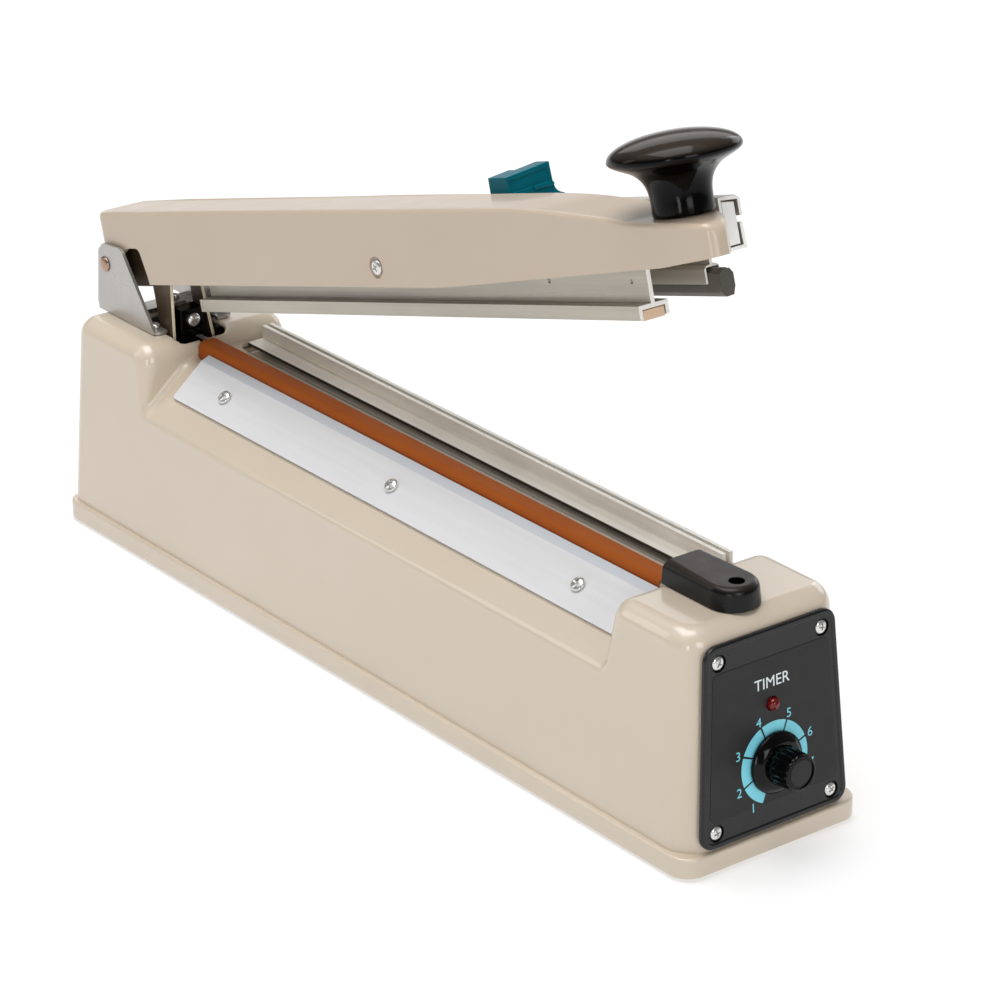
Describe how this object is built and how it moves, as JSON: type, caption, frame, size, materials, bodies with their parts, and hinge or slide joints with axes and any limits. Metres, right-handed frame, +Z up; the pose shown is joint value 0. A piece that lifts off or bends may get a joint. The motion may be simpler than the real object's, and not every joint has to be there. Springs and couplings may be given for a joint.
{
  "type": "impulse heat sealer",
  "caption": "Hand impulse heat sealer: long bevelled housing with a heated sealing bar, a hinged press arm with a round handle, a sliding side cutter and a front timer dial.",
  "frame": {"origin": "bottom centre of the whole part, on the worktop under the feet", "axes": "+X from the hinge end towards the control panel, +Y away from the operator's side towards the cutter, +Z up"},
  "size_m": [0.4572, 0.0896, 0.2734],
  "materials": {
    "housing_paint": "glossy enamel",
    "rubber": "matte",
    "aluminium": "satin extruded",
    "silicone": "matte silicone rubber",
    "ptfe": "satin coated glass cloth",
    "plate_steel": "satin",
    "screw_steel": "polished",
    "black_plastic": "glossy",
    "chrome_plate": "satin chrome",
    "copper": "copper plated",
    "zinc_plate": "yellow zinc plated",
    "panel_charcoal": "fine matte",
    "red_plastic": "glossy, translucent on the lamp",
    "core_iron": "varnished laminations",
    "coil_wrap": "tape wrap",
    "board_green": "solder mask",
    "film_grey": "satin",
    "teal_plastic": "glossy"
  },
  "bodies": {
    "base": {"housing": "housing_paint", "foot_1": "rubber", "foot_2": "rubber", "foot_3": "rubber", "foot_4": "rubber", "sealing_bed": "aluminium", "cutter_rail": "aluminium", "insulating_tape": "silicone", "ptfe_cloth": "ptfe", "clamp_plate": "plate_steel", "bottom_plate": "plate_steel", "clamp_screw_1": "screw_steel", "clamp_screw_2": "screw_steel", "clamp_screw_3": "screw_steel", "cap_screw": "screw_steel", "bracket_screw_1": "screw_steel", "bracket_screw_2": "screw_steel", "bracket_screw_3": "screw_steel", "bracket_screw_4": "screw_steel", "panel_screw_1": "screw_steel", "panel_screw_2": "screw_steel", "panel_screw_3": "screw_steel", "panel_screw_4": "screw_steel", "rear_terminal_screw": "screw_steel", "return_spring": "screw_steel", "heating_element": "screw_steel", "terminal_cap": "black_plastic", "micro_switch": "black_plastic", "rear_terminal": "black_plastic", "front_terminal": "black_plastic", "cord_gland": "black_plastic", "fuse_holder": "black_plastic", "potentiometer": "black_plastic", "hinge_bracket": "chrome_plate", "hinge_pin": "copper", "spring_bracket": "zinc_plate", "control_panel": "panel_charcoal", "indicator_lamp": "red_plastic", "transformer_core": "core_iron", "transformer_coil": "coil_wrap", "timer_board": "board_green"},
    "arm": {"arm_cover": "housing_paint", "press_bar": "aluminium", "silicone_strip": "silicone", "arm_yoke": "zinc_plate", "arm_screw": "screw_steel", "handle": "black_plastic", "handle_screw": "screw_steel", "cutter_track": "aluminium", "strip_holder": "aluminium", "track_stop": "aluminium", "film_strip": "film_grey"},
    "cutter": {"cutter_handle": "teal_plastic", "cutter_blade": "screw_steel"},
    "knob": {"timer_knob": "black_plastic"},
    "plunger": {"switch_plunger": "red_plastic"}
  },
  "joints": [
    {"name": "arm_hinge", "type": "hinge", "parent": "base", "child": "arm", "pos_m": [-0.20807, 0, 0.1204], "axis": [0, -1, 0], "range_deg": [-16, 0], "stiffness_Nm_per_rad": 13, "springref_deg": 10, "deforming": ["return_spring"]},
    {"name": "cutter_slide", "type": "slide", "parent": "arm", "child": "cutter", "axis": [0.9613, 0, 0.2756], "range_m": [-0.176, 0.096]},
    {"name": "timer_knob_turn", "type": "hinge", "parent": "base", "child": "knob", "pos_m": [0.21054, 0.0004, 0.0375], "axis": [0.9972, 0, 0.075], "range_deg": [-140, 140]},
    {"name": "switch_press", "type": "slide", "parent": "base", "child": "plunger", "axis": [-1, 0, 0], "range_m": [0, 0.002], "stiffness_N_per_m": 200, "springref_m": -0.003}
  ]
}
